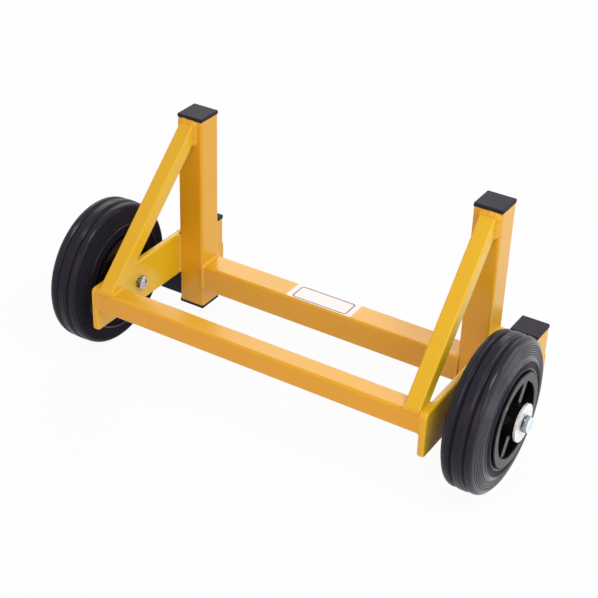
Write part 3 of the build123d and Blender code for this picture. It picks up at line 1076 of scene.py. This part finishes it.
def brace_ends(side):
    """Points of a brace's head on the upright and of its foot on the front rail."""
    low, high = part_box(f"{side}_brace")
    points = [vertex.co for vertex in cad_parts[f"{side}_brace"].data.vertices]
    head = [point for point in points if point.y > high.y - END_REACH]
    foot = [point for point in points if point.z < low.z + END_REACH]
    return head, foot


def brace_head_lines(side):
    """A loop round the brace's head on the upright."""
    head, foot = brace_ends(side)
    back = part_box(f"{side}_brace")[1].y
    along = (sum(head, Vector()) / len(head) - sum(foot, Vector()) / len(foot)).normalized()
    head_low = (min(p.x for p in head), min(p.z for p in head))
    head_high = (max(p.x for p in head), max(p.z for p in head) - HEAD_DROP)
    loop = rounded_loop(head_low, head_high, HEAD_CORNER)
    return [ring_line(loop, lambda x, z, share: (x, back * share, z), -along)]


def brace_foot_lines(side):
    """Seams along the brace's foot on the front rail."""
    foot = brace_ends(side)[1]
    rail_low, rail_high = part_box("front_rail")
    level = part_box(f"{side}_brace")[0].z
    inner = min((p.x for p in foot), key=abs)
    outer = max((p.x for p in foot), key=abs)
    front = rail_low.y + FOOT_FRONT_GAP
    back = min(max(p.y for p in foot), rail_high.y) - FOOT_BACK_GAP
    return [
        straight_line((inner, front, level), (inner, back, level), (-SIDES[side], 0.0, 1.0)),
        straight_line((inner, front, level), (outer, front, level), (0.0, -1.0, FOOT_LEAN)),
    ]


# Operators

class CARRIER_OT_coat_frame(bpy.types.Operator):
    """Coat the rails, uprights, plates, braces, feet and posts"""
    bl_idname = "carrier.coat_frame"
    bl_label = "Coat frame"

    def execute(self, context):
        colours = context.scene.carrier_colours
        names = ["front_rail", "rear_rail"] + both_sides(TUBE_PIECES)
        dress(names, powder_coat("yellow_powder_coat", colours.paint))
        # Plates and braces take the lit copy of the paint, yellower as painted light from the key lamp
        dress(both_sides(BRACKET_PIECES), powder_coat("bright_powder_coat", colours.lit_paint))
        return {"FINISHED"}


class CARRIER_OT_lay_welds(bpy.types.Operator):
    """Lay painted weld beads along the frame's seams"""
    bl_idname = "carrier.lay_welds"
    bl_label = "Lay welds"

    def execute(self, context):
        trim = context.scene.carrier_trim
        tree = weld_tree()
        values = {
            "Flatness": trim.weld_flatness, "Pitch": trim.weld_pitch, "Swell": trim.weld_swell,
            "Wander": trim.weld_wander,
            "Finish": powder_coat("yellow_powder_coat", context.scene.carrier_colours.paint),
        }
        seams = {"rail_welds": (rail_weld_lines(), trim.weld_leg)}
        for side in SIDES:
            seams[f"{side}_plate_welds"] = (side_weld_lines(side), trim.weld_leg)
            seams[f"{side}_brace_head_weld"] = (brace_head_lines(side), trim.brace_head_leg)
            seams[f"{side}_brace_foot_welds"] = (brace_foot_lines(side), trim.brace_foot_leg)
        for name, (lines, leg) in seams.items():
            piece = run_tree(tree, name, line_mesh(name, lines), {**values, "Leg": leg})
            fix_piece(piece, "frame", "frame_paint")
        return {"FINISHED"}


class CARRIER_OT_fit_caps(bpy.types.Operator):
    """Finish the black end caps and plug the feet's rear ends"""
    bl_idname = "carrier.fit_caps"
    bl_label = "Fit caps"

    def execute(self, context):
        trim = context.scene.carrier_trim
        finish = cap_plastic(context.scene.carrier_colours)
        dress(both_sides(CAP_PIECES), finish)
        for side in SIDES:
            piece = ring_solid(f"{side}_foot_rear_plug", plug_rings(side, trim), finish)
            fix_piece(piece, "frame", "cap_plastic", f"{side}_foot_rear_cap")
        return {"FINISHED"}


class CARRIER_OT_mould_tyres(bpy.types.Operator):
    """Mould both tyres with their ribs, grooves and rings"""
    bl_idname = "carrier.mould_tyres"
    bl_label = "Mould tyres"

    def execute(self, context):
        tyre = context.scene.carrier_tyre
        tree = turning_tree()
        finish = tyre_rubber(context.scene.carrier_colours, tyre)
        section = [(radius, width, 0.0) for radius, width in tyre_section(tyre)]
        outline = (section, True, [(1.0, 0.0, 0.0)] * len(section))
        for side in SIDES:
            low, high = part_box(f"{side}_tyre")
            name = f"{side}_ribbed_tyre"
            values = {"Segments": tyre.segments, "Middle": (low + high) / 2, "Finish": finish}
            piece = run_tree(tree, name, line_mesh(name, [outline]), values)
            fix_piece(piece, f"{side}_wheel", "tyre_rubber", f"{side}_tyre")
        return {"FINISHED"}


class CARRIER_OT_finish_wheels(bpy.types.Operator):
    """Finish the wheel centres and their roller bearings"""
    bl_idname = "carrier.finish_wheels"
    bl_label = "Finish wheels"

    def execute(self, context):
        colours = context.scene.carrier_colours
        ground = turned_metal("ground_steel", colours.steel, metallic=1.0, roughness=0.22, marks=9000.0)
        dress(both_sides(("wheel_centre",)), wheel_moulding(colours))
        dress(both_sides(("bearing_cage",)), cage_nylon(colours))
        dress(both_sides(STEEL_PIECES), ground)
        return {"FINISHED"}


class CARRIER_OT_plate_axles(bpy.types.Operator):
    """Plate the washers and spacers, and fit the nuts and bolts"""
    bl_idname = "carrier.plate_axles"
    bl_label = "Plate axles"

    def execute(self, context):
        trim = context.scene.carrier_trim
        colours = context.scene.carrier_colours
        bright = turned_metal("bright_zinc", colours.zinc, metallic=0.35, roughness=0.22, marks=7000.0)
        dress(both_sides(ZINC_PIECES), bright)
        nut_finish = grey_zinc(colours, trim)
        bolt_finish = blue_zinc(colours)
        for side in SIDES:
            nut = ring_solid(f"{side}_hex_nut", nut_rings(side, trim), nut_finish, hollow=True)
            fix_piece(nut, "frame", "zinc_steel", f"{side}_lock_nut")
            bolt = short_bolt(f"{side}_short_bolt", side, trim, bolt_finish)
            fix_piece(bolt, "frame", "zinc_steel", f"{side}_axle_bolt")
        return {"FINISHED"}


class CARRIER_OT_stick_label(bpy.types.Operator):
    """Stick the bare label on top of the rear rail"""
    bl_idname = "carrier.stick_label"
    bl_label = "Stick label"

    def execute(self, context):
        trim = context.scene.carrier_trim
        low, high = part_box("rear_rail")
        middle = Vector((trim.label_offset, (low.y + high.y) / 2, high.z))
        reach = Vector((trim.label_length / 2, trim.label_width / 2))
        outline = rounded_loop(
            (middle.x - reach.x, middle.y - reach.y), (middle.x + reach.x, middle.y + reach.y),
            trim.label_corner)
        rings = [[(x, y, z) for x, y in outline]
                 for z in (middle.z - trim.label_thickness, middle.z + trim.label_thickness)]
        piece = ring_solid("rail_label", rings, label_film(context.scene.carrier_colours, trim, middle))
        fix_piece(piece, "frame", "frame_paint")
        return {"FINISHED"}


class CARRIER_OT_set_stage(bpy.types.Operator):
    """Set the camera, the lamps, the world and the floor"""
    bl_idname = "carrier.set_stage"
    bl_label = "Set stage"

    def execute(self, context):
        stage = context.scene.carrier_stage
        context.scene.view_settings.view_transform = "Standard"
        self.set_camera(context, stage)
        self.set_world(context, stage)
        self.lay_floor(stage)
        self.hang_lamp("key_lamp", stage.key_power, stage.key_colour)
        self.hang_lamp("back_lamp", stage.back_power, WHITE)
        self.hang_lamp("front_lamp", stage.front_power, stage.warm_colour)
        self.hang_lamp("side_lamp", stage.side_power, WHITE)
        self.hang_lamp("fill_lamp", stage.fill_power, stage.fill_colour)
        return {"FINISHED"}

    def set_camera(self, context, stage):
        back = Vector((
            math.sin(stage.azimuth) * math.cos(stage.elevation),
            -math.cos(stage.azimuth) * math.cos(stage.elevation),
            math.sin(stage.elevation)))
        right = Vector((math.cos(stage.azimuth), math.sin(stage.azimuth), 0.0))
        up = back.cross(right)
        tilt = Matrix.Rotation(-stage.roll, 3, -back)
        axes = Matrix((tilt @ right, tilt @ up, back)).transposed()
        lens = bpy.data.cameras.new("camera")
        lens.sensor_width = SENSOR_WIDTH
        lens.lens = stage.lens
        camera = new_object("camera", lens)
        camera.matrix_world = Matrix.Translation(Vector(stage.aim) + back * stage.distance) @ axes.to_4x4()
        context.scene.camera = camera

    def set_world(self, context, stage):
        world = bpy.data.worlds.new("studio")
        world.use_nodes = True
        world.node_tree.nodes.clear()
        board = Board(world.node_tree)
        seen = board.seen()
        glow = board.add("ShaderNodeBackground", sockets={
            "Color": board.mix(seen, rgba(stage.ambient_colour), rgba(WHITE)),
            "Strength": between(stage.ambient, 1.0, seen)})
        board.add("ShaderNodeOutputWorld", sockets={"Surface": glow})
        context.scene.world = world

    def lay_floor(self, stage):
        half = stage.floor_size / 2
        corners = [(-half, -half, 0.0), (half, -half, 0.0), (half, half, 0.0), (-half, half, 0.0)]
        mesh = bpy.data.meshes.new("floor")
        mesh.from_pydata(corners, [], [(0, 1, 2, 3)])
        finish = Finish("pale_floor", {
            "Base Color": rgba(stage.floor_colour), "Roughness": 0.9, "Specular IOR Level": 0.0})
        white = finish.add("ShaderNodeEmission", sockets={"Color": rgba(WHITE), "Strength": 1.0})
        share = stage.floor_white * finish.seen()
        finish.show(finish.add("ShaderNodeMixShader", sockets={0: share, 1: finish.shader, 2: white}))
        mesh.materials.append(finish.material)
        new_object("floor", mesh)

    def hang_lamp(self, name, power, colour):
        place, size = LAMPS[name]
        lamp = bpy.data.lights.new(name, "AREA")
        lamp.shape = "RECTANGLE"
        lamp.size, lamp.size_y = size
        lamp.energy = power
        lamp.color = colour
        holder = new_object(name, lamp)
        holder.location = place
        holder.rotation_euler = (LAMP_AIM - Vector(place)).to_track_quat("-Z", "Y").to_euler()


class CARRIER_PT_sidebar(bpy.types.Panel):
    """Buttons for the carrier's pieces"""
    bl_idname = "CARRIER_PT_sidebar"
    bl_label = "Board carrier"
    bl_space_type = "VIEW_3D"
    bl_region_type = "UI"
    bl_category = "Carrier"

    def draw(self, context):
        for operator in OPERATORS:
            self.layout.operator(operator.bl_idname)


OPERATORS = (
    CARRIER_OT_coat_frame,
    CARRIER_OT_lay_welds,
    CARRIER_OT_fit_caps,
    CARRIER_OT_mould_tyres,
    CARRIER_OT_finish_wheels,
    CARRIER_OT_plate_axles,
    CARRIER_OT_stick_label,
    CARRIER_OT_set_stage,
)
SETTINGS = {
    "carrier_colours": CarrierColours,
    "carrier_tyre": CarrierTyre,
    "carrier_trim": CarrierTrim,
    "carrier_stage": CarrierStage,
}


def register():
    for name, settings in SETTINGS.items():
        bpy.utils.register_class(settings)
        setattr(bpy.types.Scene, name, PointerProperty(type=settings))
    for operator in OPERATORS:
        bpy.utils.register_class(operator)
    bpy.utils.register_class(CARRIER_PT_sidebar)


def unregister():
    bpy.utils.unregister_class(CARRIER_PT_sidebar)
    for operator in reversed(OPERATORS):
        bpy.utils.unregister_class(operator)
    for name, settings in reversed(SETTINGS.items()):
        delattr(bpy.types.Scene, name)
        bpy.utils.unregister_class(settings)


def main():
    register()
    bpy.ops.carrier.coat_frame()
    bpy.ops.carrier.lay_welds()
    bpy.ops.carrier.fit_caps()
    bpy.ops.carrier.mould_tyres()
    bpy.ops.carrier.finish_wheels()
    bpy.ops.carrier.plate_axles()
    bpy.ops.carrier.stick_label()
    bpy.ops.carrier.set_stage()


if __name__ == "__main__":
    main()
